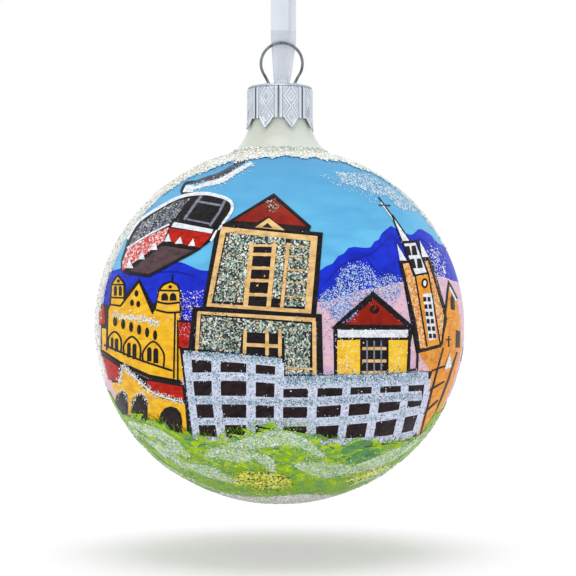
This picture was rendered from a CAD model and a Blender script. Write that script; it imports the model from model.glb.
import math
import random
import bpy
import bmesh
from mathutils import Matrix, Quaternion, Vector
from mathutils.geometry import tessellate_polygon


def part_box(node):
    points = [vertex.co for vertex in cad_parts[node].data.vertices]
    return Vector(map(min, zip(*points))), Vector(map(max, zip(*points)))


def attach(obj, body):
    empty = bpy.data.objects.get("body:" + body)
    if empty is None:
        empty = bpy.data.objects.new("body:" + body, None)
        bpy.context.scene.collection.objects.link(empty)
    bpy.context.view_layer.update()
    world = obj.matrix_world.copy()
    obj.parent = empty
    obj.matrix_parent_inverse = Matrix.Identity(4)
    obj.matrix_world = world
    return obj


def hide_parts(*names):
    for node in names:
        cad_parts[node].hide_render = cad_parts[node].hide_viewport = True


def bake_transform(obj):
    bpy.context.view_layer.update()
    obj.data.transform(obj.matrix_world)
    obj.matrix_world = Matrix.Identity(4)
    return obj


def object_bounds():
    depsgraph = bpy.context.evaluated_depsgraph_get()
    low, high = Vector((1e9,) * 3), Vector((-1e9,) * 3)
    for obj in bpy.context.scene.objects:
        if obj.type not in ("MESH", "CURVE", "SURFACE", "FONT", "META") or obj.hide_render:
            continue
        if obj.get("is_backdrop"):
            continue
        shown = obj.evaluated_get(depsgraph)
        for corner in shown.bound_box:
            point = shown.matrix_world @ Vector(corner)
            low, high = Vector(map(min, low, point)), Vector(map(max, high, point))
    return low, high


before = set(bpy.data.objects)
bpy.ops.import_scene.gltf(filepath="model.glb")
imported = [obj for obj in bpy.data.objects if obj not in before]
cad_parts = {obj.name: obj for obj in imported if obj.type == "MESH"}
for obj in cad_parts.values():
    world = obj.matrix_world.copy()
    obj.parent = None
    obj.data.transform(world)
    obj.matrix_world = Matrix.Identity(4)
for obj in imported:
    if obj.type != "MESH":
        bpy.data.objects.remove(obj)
cad_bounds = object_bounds()


# Camera, floor and light. The camera stands level with the ball's middle and looks straight ahead, its
# view shifted up and a little to one side. The ornament hangs just above a pale floor in soft light.
MM = 0.001
BALL_HEIGHT = 79.4
EYE_DISTANCE = 410.0
VIEW_WIDTH = 129.6
SENSOR_WIDTH = 36
SHIFT_SIDEWAYS = 0.014
SHIFT_UPWARD = 0.065
FLOOR_GAP = 12.0
FLOOR_SIZE = 6
FLOOR_TONE = (0.92, 0.89, 0.945, 1)
SUN_STRENGTH = 0.72
SUN_SPREAD = 34
SUN_TILT = 11

ball_low, ball_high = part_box("glass_ball")
BALL_WIDTH = (ball_high[0] - ball_low[0]) / MM
ball_centre = Vector((0, 0, ball_low[2] + BALL_HEIGHT / 2 * MM))


def add_object(name, data):
    thing = bpy.data.objects.new(name, data)
    bpy.context.collection.objects.link(thing)
    return thing


def select_only(*pieces):
    """Selects these pieces and nothing else, the first of them active."""
    bpy.ops.object.select_all(action="DESELECT")
    for piece in pieces:
        piece.select_set(True)
        bpy.context.view_layer.objects.active = pieces[0]


def set_inputs(node, **values):
    """Sets a node's inputs, an underscore standing for each space in their names."""
    for name, value in values.items():
        node.inputs[name.replace("_", " ")].default_value = value
    return node


def new_material(name, **values):
    material = bpy.data.materials.new(name)
    material.use_nodes = True
    return material, set_inputs(material.node_tree.nodes["Principled BSDF"], **values)


def add_light(name, kind, power):
    light = add_object(name, bpy.data.lights.new(name, kind))
    light.data.energy = power
    return light


camera = add_object("camera", bpy.data.cameras.new("camera"))
camera.location = ball_centre + Vector((0, -EYE_DISTANCE * MM, 0))
camera.rotation_euler = (math.radians(90), 0, 0)
camera.data.sensor_width = SENSOR_WIDTH
camera.data.lens = SENSOR_WIDTH * EYE_DISTANCE / VIEW_WIDTH
camera.data.shift_x = SHIFT_SIDEWAYS
camera.data.shift_y = SHIFT_UPWARD
bpy.context.scene.camera = camera
bpy.context.scene.view_settings.view_transform = "Standard"

select_only()
bpy.ops.mesh.primitive_plane_add(size=FLOOR_SIZE, location=(0, 0, ball_low[2] - FLOOR_GAP * MM))
floor = bpy.context.object
floor.name = "studio_floor"
floor.data.materials.append(new_material("floor_white", Base_Color=FLOOR_TONE, Roughness=0.7)[0])
floor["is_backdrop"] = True

for name, place, size, power in (
    ("key_light", (-0.55, -0.75, 0.75), 0.5, 0.6),
    ("fill_light", (0.7, -0.8, 0.35), 0.6, 0.2),
):
    light = add_light(name, "AREA", power)
    light.data.size = size
    light.location = ball_centre + Vector(place)
    light.rotation_euler = (-Vector(place)).to_track_quat("-Z", "Y").to_euler()
overhead = add_light("overhead_light", "SUN", SUN_STRENGTH)
overhead.data.angle = math.radians(SUN_SPREAD)
overhead.rotation_euler = (math.radians(SUN_TILT), 0, 0)
world = bpy.data.worlds.new("studio")
world.use_nodes = True
set_inputs(world.node_tree.nodes["Background"], Color=(1, 1, 1, 1), Strength=1.0)
bpy.context.scene.world = world


# The ribbon. One length of sheer satin, folded into a loop that hangs the ball. Its two strands pass
# behind the ring's top, gather inward and are knotted low between the ring's feet.
RIBBON_WIDTH = 4.0
RIBBON_THICKNESS = 0.14
BOW_DEPTH = 0.12
RIBBON_SHIFT = 0.8
STRAND_SPACING = 1.7
RING_SHIFT = 0.4
LOOP_HEIGHT = 46.0
RING_HEIGHT = 10.3
BEHIND_RING = 1.05
WEAVE_DEPTH = 0.04
SATIN_WHITE = (228, 234, 240)
SATIN_SHADE = (215, 222, 230)

left_strand = RIBBON_SHIFT - STRAND_SPACING / 2
right_strand = RIBBON_SHIFT + STRAND_SPACING / 2
LOOP_ROUTE = [
    (left_strand, -0.62, -43.6), (left_strand, -0.9, -32.0), (left_strand, -1.5, -20.0),
    (left_strand, -2.5, -10.0), (left_strand, -3.1, -4.8), (RIBBON_SHIFT - 0.5, -2.3, -1.0),
    (RIBBON_SHIFT, 0, 0.2), (RIBBON_SHIFT + 0.5, 2.3, -1.0), (right_strand, 3.1, -4.8),
    (right_strand, 2.5, -10.0), (right_strand, 1.5, -20.0), (right_strand, 0.9, -32.0),
    (right_strand, 0.62, -43.6),
]


def smooth_route(route, steps):
    """Points along a curve through the route, evenly many between each two of its points."""
    points = [Vector(point) for point in route]
    points = [2 * points[0] - points[1], *points, 2 * points[-1] - points[-2]]
    smooth = []
    for i in range(1, len(points) - 2):
        knots = [0.0]
        for j in range(i - 1, i + 2):
            knots.append(knots[-1] + math.sqrt((points[j + 1] - points[j]).length))
        for step in range(steps):
            at = knots[1] + (knots[2] - knots[1]) * step / steps
            layer = points[i - 1 : i + 3]
            for span in (1, 2, 3):
                mixed = []
                for j in range(4 - span):
                    start, end = (knots[1], knots[2]) if span == 3 else (knots[j], knots[j + span])
                    share = (at - start) / (end - start)
                    mixed.append(layer[j] * (1 - share) + layer[j + 1] * share)
                layer = mixed
            smooth.append(layer[0])
    smooth.append(points[-2])
    return smooth


def path_length(points):
    return sum((b - a).length for a, b in zip(points, points[1:]))


def srgb(red, green, blue):
    """A tone written as it would be picked on a screen, from 0 to 255, as linear light."""
    shares = (value / 255 for value in (red, green, blue))
    linear = [share / 12.92 if share <= 0.04045 else ((share + 0.055) / 1.055) ** 2.4 for share in shares]
    return (*linear, 1.0)


def add_node(material, kind, **values):
    return set_inputs(material.node_tree.nodes.new("ShaderNode" + kind), **values)


def connect(material, *links):
    """Joins an output of one node to an input of another, for each (node, output, node, input)."""
    for source, output, target, socket in links:
        material.node_tree.links.new(source.outputs[output], target.inputs[socket])


def satin():
    """Sheer satin with its crossed threads as a fine bump, clouded by a slightly darker tone."""
    material, shader = new_material("sheer_satin", Roughness=0.42, Alpha=0.8)
    set_inputs(shader, Sheen_Weight=0.5, Sheen_Roughness=0.4)
    place = add_node(material, "UVMap")
    warp = add_node(material, "TexWave", Scale=1.6, Distortion=0.6)
    weft = add_node(material, "TexWave", Scale=2.1, Distortion=0.4)
    weft.bands_direction = "Y"
    cloud = add_node(material, "TexNoise", Scale=0.35)
    tone = add_node(material, "Mix")
    tone.data_type = "RGBA"
    set_inputs(tone, A=srgb(*SATIN_WHITE), B=srgb(*SATIN_SHADE))
    threads = add_node(material, "Math")
    threads.operation = "MULTIPLY"
    bump = add_node(material, "Bump", Strength=0.35, Distance=WEAVE_DEPTH * MM)
    connect(material, *[(place, "UV", texture, "Vector") for texture in (warp, weft, cloud)])
    connect(material, (warp, "Fac", threads, 0), (weft, "Fac", threads, 1), (threads, 0, bump, "Height"))
    connect(material, (cloud, "Fac", tone, "Factor"), (tone, "Result", shader, "Base Color"))
    connect(material, (bump, "Normal", shader, "Normal"))
    return material


def ribbon_strip(name, route, widths, folds, material):
    """A woven strip along the route, its width along X, with lengthwise folds of the given depth."""
    across_steps = 12
    points = [Vector(point) for point in route]
    rows = []
    for i, point in enumerate(points):
        tangent = points[min(i + 1, len(points) - 1)] - points[max(i - 1, 0)]
        tangent.normalize()
        across = Vector((1, 0, 0))
        across = (across - tangent * across.dot(tangent)).normalized()
        out = tangent.cross(across)
        share = i / (len(points) - 1)
        row = []
        for j in range(across_steps + 1):
            u = j / across_steps * 2 - 1
            bow = math.cos(u * math.pi / 2) * BOW_DEPTH
            fold = folds(share) * math.sin(u * 7.5 + 0.7)
            row.append(point + across * (u * widths(share) / 2) + out * (bow + fold))
        rows.append(row)
    mesh = bpy.data.meshes.new(name)
    width = across_steps + 1
    faces = [
        (i * width + j, i * width + j + 1, (i + 1) * width + j + 1, (i + 1) * width + j)
        for i in range(len(rows) - 1)
        for j in range(across_steps)
    ]
    mesh.from_pydata([vertex * MM for row in rows for vertex in row], [], faces)
    weave = mesh.uv_layers.new(name="weave")
    for loop in mesh.loops:
        i, j = divmod(loop.vertex_index, width)
        weave.data[loop.index].uv = (j / across_steps * RIBBON_WIDTH, i * 0.6)
    strip = add_object(name, mesh)
    give_thickness(strip, RIBBON_THICKNESS * MM)
    mesh.materials.append(material)
    smooth_shade(strip)
    return strip


def give_thickness(piece, thickness):
    select_only(piece)
    wall = piece.modifiers.new("wall", "SOLIDIFY")
    wall.thickness = thickness
    wall.offset = 0
    bpy.ops.object.modifier_apply(modifier=wall.name)


def smooth_shade(piece, angle=40):
    select_only(piece)
    bpy.ops.object.shade_smooth_by_angle(angle=math.radians(angle))


def middle_of(node):
    return Vector([(low + high) / 2 for low, high in zip(*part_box(node))])


def gathered_bunch(name, centre, size, crease, turns, material):
    """A small rounded bunch of ribbon, gathered into creases that run round it."""
    select_only()
    bpy.ops.mesh.primitive_uv_sphere_add(segments=40, ring_count=24, radius=1, location=(0, 0, 0))
    bunch = bpy.context.object
    bunch.name = name
    for vertex in bunch.data.vertices:
        x, y, z = vertex.co
        gather = 1 + crease * math.sin(turns * x + 2.2 * z) + crease * 0.6 * math.sin(9 * y + 3 * z)
        vertex.co = Vector((x * size[0], y * size[1] * gather, z * size[2] * gather)) * MM / 2
        vertex.co += centre
    bunch.data.materials.append(material)
    for loop in bunch.data.uv_layers[0].data:
        loop.uv = (loop.uv[0] * 10, loop.uv[1] * 5)
    smooth_shade(bunch)
    return bunch


satin_cloth = satin()
loop_path = smooth_route(LOOP_ROUTE, 9)
ribbon = ribbon_strip("satin_loop", loop_path, lambda s: RIBBON_WIDTH, lambda s: 0.03, satin_cloth)
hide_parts("ribbon_loop", "ribbon_throat")
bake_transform(ribbon)

cap_level = -(LOOP_HEIGHT + RING_HEIGHT)
for name, start_x, start_y, foot_x in (
    ("satin_tail_front", left_strand, LOOP_ROUTE[0][1], RING_SHIFT - 0.25),
    ("satin_tail_back", right_strand, LOOP_ROUTE[-1][1], RING_SHIFT + 0.35),
):
    route = [
        (start_x, start_y, LOOP_ROUTE[0][2]),
        (start_x, start_y * 0.4 + BEHIND_RING * 0.6, -44.9),
        (start_x, BEHIND_RING + 0.25 * start_y, -46.6),
        (start_x * 0.8 + foot_x * 0.2, BEHIND_RING + 0.1, -49),
        (start_x * 0.35 + foot_x * 0.65, BEHIND_RING, -53),
        (foot_x, BEHIND_RING - 0.1, cap_level + 1.0),
    ]
    tail = ribbon_strip(
        name,
        smooth_route(route, 9),
        lambda s: RIBBON_WIDTH - max(0, s - 0.25) * 1.5,
        lambda s: 0.02 + max(0, s - 0.3) * 0.22,
        satin_cloth,
    )
    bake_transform(tail)
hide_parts("ribbon_tail")

KNOT_SIZE = (3.1, 2.9, 1.15)
knot = gathered_bunch("satin_knot", middle_of("ribbon_knot"), KNOT_SIZE, 0.09, 6.0, satin_cloth)
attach(knot, "hanger")
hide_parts("ribbon_knot")
WRAP_RADIUS = 0.85
WRAP_THICKNESS = 0.4
for side in ("left", "right"):
    select_only()
    bpy.ops.mesh.primitive_torus_add(
        location=(0, 0, 0), major_segments=36, minor_segments=12,
        major_radius=WRAP_RADIUS * MM, minor_radius=WRAP_THICKNESS / 2 * MM,
    )
    wrap = bpy.context.object
    wrap.name = "satin_wrap_" + side
    for vertex in wrap.data.vertices:
        angle = math.atan2(vertex.co.y, vertex.co.x)
        vertex.co.z *= 1.25 + 0.25 * math.sin(7 * angle)
        vertex.co += middle_of("ribbon_wrap_" + side)
    wrap.data.materials.append(satin_cloth)
    smooth_shade(wrap)
    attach(wrap, "hanger")
    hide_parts("ribbon_wrap_" + side)


# The glass ball. It is blown in one piece with its neck, silvered, then dipped in a cream pearl lacquer.
# The lacquer shows bare at the neck, between the cap's petals and the frost on the shoulder.
GLASS_WALL = 0.9
NECK_RADIUS = 6.6
NECK_LENGTH = 13.25
NECK_STRAIGHT = 6.15
NECK_FOOT_RADIUS = 13.0
PEARL_CREAM = (203, 209, 202)
PEARL_SHADE = (187, 193, 174)


def noise_texture(material, scale, detail, stretch=None):
    """A noise on the piece's own Object coordinates, in patches of about 1/scale metres."""
    place = add_node(material, "TexCoord")
    texture = add_node(material, "TexNoise", Scale=scale, Detail=detail)
    if not stretch:
        connect(material, (place, "Object", texture, "Vector"))
        return texture
    mapping = add_node(material, "Mapping", Scale=stretch)
    connect(material, (place, "Object", mapping, "Vector"), (mapping, "Vector", texture, "Vector"))
    return texture


def add_ramp(material, *stops):
    """A colour ramp with a tone at each of its (position, tone) stops."""
    ramp = add_node(material, "ValToRGB")
    elements = ramp.color_ramp.elements
    for i, (position, tone) in enumerate(stops):
        if i > 1:
            elements.new(position)
        elements[i].position = position
        elements[i].color = srgb(*tone)
    return ramp


def two_tones(material, shader, texture, first, second, low=0.35, high=0.65):
    """Base colour that wanders between two tones with the texture."""
    ramp = add_ramp(material, (low, first), (high, second))
    connect(material, (texture, "Fac", ramp, "Fac"), (ramp, "Color", shader, "Base Color"))


def ripple(material, shader, texture, depth, strength, output="Fac"):
    bump = add_node(material, "Bump", Distance=depth * MM, Strength=strength)
    connect(material, (texture, output, bump, "Height"), (bump, "Normal", shader, "Normal"))


def pearl_lacquer():
    material, shader = new_material("pearl_lacquer", Roughness=0.28, Specular_IOR_Level=0.2)
    set_inputs(shader, Coat_Weight=0.15, Coat_Roughness=0.12)
    two_tones(material, shader, noise_texture(material, 110, 3), PEARL_CREAM, PEARL_SHADE, 0.42, 0.78)
    ripple(material, shader, noise_texture(material, 900, 3), 0.02, 0.25)
    return material


def bezier(start, first, second, end, steps):
    """Points of a curve that leaves start towards first and reaches end from second."""
    points = []
    for i in range(1, steps + 1):
        t = i / steps
        weights = ((1 - t) ** 3, 3 * t * (1 - t) ** 2, 3 * t * t * (1 - t), t**3)
        pulls = list(zip(weights, (start, first, second, end)))
        points.append(tuple(sum(weight * pull[axis] for weight, pull in pulls) for axis in (0, 1)))
    return points


def glass_profile():
    half_width = BALL_WIDTH / 2
    half_height = BALL_HEIGHT / 2
    foot_angle = math.acos(NECK_FOOT_RADIUS / half_width)
    ball_steps = 54
    profile = []
    for i in range(ball_steps + 1):
        angle = -math.pi / 2 + (foot_angle + math.pi / 2) * i / ball_steps
        profile.append((half_width * math.cos(angle), half_height * math.sin(angle)))
    profile[0] = (0.0, -half_height)
    foot = profile[-1]
    slope = half_height / half_width * math.cos(foot_angle) / math.sin(foot_angle)
    reach = (foot[0] - NECK_RADIUS) * 0.65
    lip = half_height + NECK_LENGTH
    straight = lip - NECK_STRAIGHT
    shoulder = (foot[0] - reach, foot[1] + reach * slope)
    throat = (NECK_RADIUS + 0.5, straight - (straight - foot[1]) * 0.42)
    profile += bezier(foot, shoulder, throat, (NECK_RADIUS, straight), 18)
    profile += [(NECK_RADIUS, lip - 0.3), (NECK_RADIUS - 0.12, lip - 0.05), (NECK_RADIUS - 0.4, lip)]
    return profile


def inner_profile(profile, wall):
    inner = []
    for i, (radius, height) in enumerate(profile):
        before = profile[max(0, i - 1)]
        after = profile[min(len(profile) - 1, i + 1)]
        run = math.hypot(after[0] - before[0], after[1] - before[1])
        inward = (after[1] - before[1]) / run
        upward = (after[0] - before[0]) / run
        inner.append((max(0.0, radius - wall * inward), height + wall * upward))
    inner[0] = (0.0, profile[0][1] + wall)
    return inner


def turned(name, profile, steps=96):
    """A profile of (radius, height above the ball's middle) spun once round the Z axis."""
    mesh = bpy.data.meshes.new(name)
    points = [Vector((radius, 0, height)) * MM + ball_centre for radius, height in profile]
    mesh.from_pydata(points, [(i, i + 1) for i in range(len(points) - 1)], [])
    piece = add_object(name, mesh)
    select_only(piece)
    bpy.ops.object.mode_set(mode="EDIT")
    bpy.ops.mesh.select_all(action="SELECT")
    bpy.ops.mesh.spin(steps=steps, angle=2 * math.pi, center=tuple(ball_centre), axis=(0, 0, 1))
    mend_mesh(0.002)
    return piece


def mend_mesh(gap):
    """Joins points closer than the gap in mm, turns the faces outward and leaves edit mode."""
    bpy.ops.mesh.select_all(action="SELECT")
    bpy.ops.mesh.remove_doubles(threshold=gap * MM)
    bpy.ops.mesh.normals_make_consistent(inside=False)
    bpy.ops.object.mode_set(mode="OBJECT")


outside = glass_profile()
inside = inner_profile(outside[:-2], GLASS_WALL)
glass = turned("blown_glass_ball", outside + inside[::-1])
glass.data.materials.append(pearl_lacquer())
smooth_shade(glass, 60)
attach(glass, "ball")
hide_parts("glass_ball")


# The cap. A cup stamped from thin aluminium, its skirt cut into eight petals. Each petal is embossed with
# upright ribs at its edges and a chain of nested diamonds that runs down into its pointed tip.
CAP_WALL = 0.35
CAP_HEIGHT = 7.6
CAP_RISE = 0.65
SKIRT_GAP = 0.3
PETAL_COUNT = 8
PETAL_LENGTH = 2.2
PETAL_TIP_WIDTH = 3.1
PETAL_WALL_SHARE = 0.7
PETAL_TURN = 20
SLIT_WIDTH = 0.3
SHOULDER = 0.5
DIMPLE = 0.12
EMBOSS = 0.22
ALUMINIUM_LIGHT = (220, 226, 232)
ALUMINIUM_MID = (178, 187, 198)
ALUMINIUM_DARK = (118, 128, 142)

lip_height = BALL_HEIGHT / 2 + NECK_LENGTH
cap_top = lip_height + CAP_RISE
skirt_foot = cap_top - CAP_HEIGHT


def around(radius, turn, level):
    """The place at a radius in mm, turned from the front towards the right, level mm above the middle."""
    return Vector((radius * math.sin(turn), -radius * math.cos(turn), level)) * MM + ball_centre


def stamped_aluminium():
    """Bright aluminium, duller down in the stamped grooves, where the press leaves it matt."""
    material, shader = new_material("stamped_aluminium", Metallic=1.0, Roughness=0.28)
    relief = add_node(material, "Attribute")
    relief.attribute_name = "relief"
    patch = noise_texture(material, 900, 4)
    worn = add_node(material, "Math")
    worn.operation = "MULTIPLY_ADD"
    worn.inputs[1].default_value = 0.3
    ramp = add_ramp(material, (0.28, ALUMINIUM_DARK), (0.66, ALUMINIUM_MID), (1.0, ALUMINIUM_LIGHT))
    connect(material, (patch, "Fac", worn, 0), (relief, "Fac", worn, 2), (worn, 0, ramp, "Fac"))
    connect(material, (ramp, "Color", shader, "Base Color"))
    ripple(material, shader, noise_texture(material, 2600, 3), 0.02, 0.3)
    return material


def neck_radius_at(height):
    for low, high in zip(outside, outside[1:]):
        if low[1] <= height <= high[1]:
            share = (height - low[1]) / max(1e-6, high[1] - low[1])
            return low[0] + (high[0] - low[0]) * share
    return NECK_RADIUS


def skirt_radius(height):
    return neck_radius_at(height) + SKIRT_GAP + CAP_WALL / 2


def groove(distance, width):
    return math.exp(-((distance / width) ** 2))


def embossing(across, down):
    """How far the petal stands out, from 0 to 1. across is -1 to 1, down 0 at the top to 1 at the tip."""
    side = abs(across)
    lobe = (down * 2.05) % 1.0
    wide = 0.6 * (1 - abs(lobe * 2 - 1))
    inner = max(0.0, wide - 0.26)
    relief = 0.6 + 0.3 * groove(side - wide, 0.08)
    relief = max(relief, 0.5 + 0.4 * groove(side - inner, 0.06)) if inner else relief
    relief -= 0.3 * groove(side - wide - 0.13, 0.05) + 0.32 * groove(side - max(0, wide - 0.13), 0.045)
    relief += 0.2 * groove(side - wide - 0.26, 0.04)
    if down < 0.78:
        relief += 0.4 * groove(side - 0.84, 0.06) - 0.35 * groove(side - 0.74, 0.03)
        relief -= 0.25 * groove(side - 0.93, 0.02)
    return max(0.0, min(1.0, relief))


def petal_mesh():
    """One petal as a grid of points on the skirt, centred on the front."""
    steps_across = 46
    steps_down = 62
    top = cap_top - SHOULDER
    tip = skirt_foot - PETAL_LENGTH
    vertices = []
    reliefs = []
    for i in range(steps_down + 1):
        down = i / steps_down
        for j in range(steps_across + 1):
            across = j / steps_across * 2 - 1
            pitch = 2 * math.pi * skirt_radius(skirt_foot) / PETAL_COUNT
            half = (pitch - SLIT_WIDTH) / 2
            x = across * half
            side = abs(x)
            tip_half = PETAL_TIP_WIDTH / 2
            slope = min(1, max(0, (tip_half - side) / (tip_half - 0.25)))
            end = skirt_foot - PETAL_LENGTH * slope
            height = top + (end - top) * down
            stands = embossing(across, (top - height) / (top - tip)) * min(1, (top - height) / 0.25)
            reliefs.append(stands)
            radius = skirt_radius(height) + EMBOSS * stands
            turn = x / skirt_radius(skirt_foot)
            vertices.append(around(radius, turn, height))
    width = steps_across + 1
    faces = [
        (i * width + j, (i + 1) * width + j, (i + 1) * width + j + 1, i * width + j + 1)
        for i in range(steps_down)
        for j in range(steps_across)
    ]
    mesh = bpy.data.meshes.new("petal")
    mesh.from_pydata(vertices, [], faces)
    relief = mesh.attributes.new("relief", "FLOAT", "POINT")
    relief.data.foreach_set("value", reliefs)
    return mesh


def stamped_cap():
    rim = skirt_radius(cap_top - SHOULDER)
    half_wall = CAP_WALL / 2
    crown = []
    for radius, top in ((rim + half_wall, cap_top), (rim - half_wall, cap_top - CAP_WALL)):
        bend = SHOULDER if top == cap_top else SHOULDER - CAP_WALL
        for i in range(9):
            angle = math.pi / 2 * i / 8
            crown.append((radius - bend + bend * math.cos(angle), top - bend + bend * math.sin(angle)))
        crown += [(3.0, top), (2.0, top - DIMPLE), (0.0, top - DIMPLE)]
    outer = crown[:12]
    inner = crown[12:][::-1]
    cup = turned("stamped_cap", outer + inner, 64)
    close_ring = bmesh.new()
    close_ring.from_mesh(cup.data)
    bmesh.ops.holes_fill(close_ring, edges=[])
    rims = [edge for edge in close_ring.edges if edge.is_boundary]
    bmesh.ops.bridge_loops(close_ring, edges=rims)
    bmesh.ops.recalc_face_normals(close_ring, faces=close_ring.faces)
    close_ring.to_mesh(cup.data)
    close_ring.free()
    crown_relief = cup.data.attributes.new("relief", "FLOAT", "POINT")
    crown_relief.data.foreach_set("value", [0.5] * len(cup.data.vertices))
    pieces = [cup]
    for i in range(PETAL_COUNT):
        petal = add_object("petal", petal_mesh())
        give_thickness(petal, CAP_WALL * PETAL_WALL_SHARE * MM)
        turn = math.radians(PETAL_TURN + i * 360 / PETAL_COUNT)
        petal.data.transform(Matrix.Rotation(turn, 4, "Z"))
        pieces.append(petal)
    select_only(*pieces)
    bpy.ops.object.join()
    return cup


cap = stamped_cap()
cap.data.materials.append(stamped_aluminium())
smooth_shade(cap, 50)
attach(cap, "hanger")
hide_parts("cap")


# The wire hanger. One spring-steel wire bent into a ring, its two legs through the cap's holes and
# splayed inside the neck, where they grip the glass and hold the cap on.
WIRE_RADIUS = 0.325
RING_DIAMETER = 10.0
FOOT_SPACING = 5.9
FOOT_HEIGHT = 0.85
LEG_LENGTH = 16.0
STEEL_LIGHT = (148, 156, 158)
STEEL_DARK = (84, 92, 93)


def spring_steel():
    material, shader = new_material("spring_steel", Metallic=1.0, Roughness=0.38)
    two_tones(material, shader, noise_texture(material, 1500, 3, (1, 1, 0.15)), STEEL_DARK, STEEL_LIGHT)
    ripple(material, shader, noise_texture(material, 5000, 2, (1, 1, 0.1)), 0.01, 0.3)
    return material


def wire_side(side):
    ring_radius = RING_DIAMETER / 2 - WIRE_RADIUS
    ring_centre = cap_top + RING_HEIGHT - RING_DIAMETER / 2
    foot = Vector((FOOT_SPACING / 2, cap_top + FOOT_HEIGHT - ring_centre))
    lean = math.asin(ring_radius / foot.length) - math.atan2(foot.x, -foot.y)
    points = []
    for i in range(25):
        angle = (math.pi / 2 + lean) * i / 24
        across = RING_SHIFT + side * ring_radius * math.sin(angle)
        points.append((across, 0, ring_centre + ring_radius * math.cos(angle)))
    foot_across = RING_SHIFT + side * FOOT_SPACING / 2
    reach = side * (NECK_RADIUS - GLASS_WALL - 0.35 - WIRE_RADIUS)
    legs = [
        (foot_across, cap_top + FOOT_HEIGHT), (foot_across, cap_top), (foot_across, lip_height),
        (foot_across * 0.6 + reach * 0.4, lip_height - LEG_LENGTH * 0.22),
        (reach, lip_height - LEG_LENGTH * 0.5), (reach * 0.93, lip_height - LEG_LENGTH * 0.75),
        (reach * 0.7, lip_height - LEG_LENGTH),
    ]
    return points + [(across, 0, up) for across, up in legs]


def round_wire(name, points, radius):
    """A round wire along the points, its ends closed, as a mesh."""
    curve = bpy.data.curves.new(name, "CURVE")
    curve.dimensions = "3D"
    curve.bevel_depth = radius * MM
    curve.bevel_resolution = 5
    curve.use_fill_caps = True
    spline = curve.splines.new("POLY")
    spline.points.add(len(points) - 1)
    for target, point in zip(spline.points, points):
        target.co = (*(Vector(point) * MM + ball_centre), 1)
    select_only(add_object(name, curve))
    bpy.ops.object.convert(target="MESH")
    bpy.ops.object.mode_set(mode="EDIT")
    mend_mesh(0.001)
    return bpy.context.object


wire_route = wire_side(-1)[::-1] + wire_side(1)[1:]
wire = round_wire("steel_ring_wire", smooth_route(wire_route, 3), WIRE_RADIUS)
wire.data.materials.append(spring_steel())
smooth_shade(wire, 60)
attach(wire, "hanger")
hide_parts("wire_hanger")


# The sky. Blue enamel brushed right round the ball from the mountain tops to the neck, the first coat of
# the painted scene. Every coat is a thin film that follows the glass and rises a little above it.
FILM_STEP = 2.2
FINE_FLAKE = 0.13
BELT_COLUMNS = 180
UNDERSIDE = -0.06
SKY_COAT = 0.04
RIDGE_COAT = 0.09
HILL_COAT = 0.12
WALL_COAT = 0.16
DETAIL_COAT = 0.2
PANE_COAT = 0.24
OUTLINE_COAT = 0.28
TRIM_COAT = 0.32
SKY_TOP = 37.6
DARKER_FROM = 18
DARKEST_AT = 38
SKY_FOOT = 3.0
SKY_LIGHT = (100, 182, 222)
SKY_DEEP = (87, 167, 211)
SKY_HIGH = (77, 149, 195)


def on_glass(x, z, height, turn=0.0):
    """The place on the ball that is seen at x, z from in front, raised by height, then turned round Z."""
    half_width = BALL_WIDTH / 2
    half_height = BALL_HEIGHT / 2
    off_centre = math.hypot(x / half_width, z / half_height)
    limb = 1.001
    if off_centre > limb:
        x *= limb / off_centre
        z *= limb / off_centre
    half_width += height
    half_height += height
    a = (x * x + EYE_DISTANCE**2) / half_width**2 + z * z / half_height**2
    b = -2 * EYE_DISTANCE**2 / half_width**2
    c = EYE_DISTANCE**2 / half_width**2 - 1
    t = (-b - math.sqrt(max(0.0, b * b - 4 * a * c))) / (2 * a)
    place = Vector((x * t, EYE_DISTANCE * (t - 1), z * t))
    return Matrix.Rotation(turn, 3, "Z") @ place * MM + ball_centre


def round_glass(turn, level, height):
    """The place at a turn in degrees from the front towards the right, level mm above the middle."""
    radius = (BALL_WIDTH / 2 + height) * math.sqrt(max(0.0, 1 - (level / (BALL_HEIGHT / 2 + height)) ** 2))
    return around(radius, math.radians(turn), level)


def slant(level):
    """How far up the ball a level is, as an angle from its middle."""
    return math.asin(max(-1, min(1, level / (BALL_HEIGHT / 2))))


def on_face(x, z):
    """Whether x, z lies clear of the ball's edge as seen from in front."""
    return math.hypot(x / (BALL_WIDTH / 2), z / (BALL_HEIGHT / 2)) < 0.985


def curved(route, steps=4):
    """The route with a smooth curve through its points."""
    points = [Vector(point) for point in route]
    points = [points[0], *points, points[-1]]
    smooth = []
    for p, q, r, s in zip(points, points[1:], points[2:], points[3:]):
        for step in range(steps):
            t = step / steps
            point = 2 * q + (r - p) * t + (2 * p - 5 * q + 4 * r - s) * t * t
            smooth.append((point + (3 * q - p - 3 * r + s) * t**3) / 2)
    return smooth + [points[-1]]


def ellipse(x, z, width, tall, steps=14):
    angles = [2 * math.pi * i / steps for i in range(steps)]
    return [(x + width / 2 * math.cos(angle), z + tall / 2 * math.sin(angle)) for angle in angles]


def inside_outline(x, z, outline):
    inside = False
    for (ax, az), (bx, bz) in zip(outline, outline[1:] + outline[:1]):
        if (az > z) != (bz > z) and x < (bx - ax) * (z - az) / (bz - az) + ax:
            inside = not inside
    return inside


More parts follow.
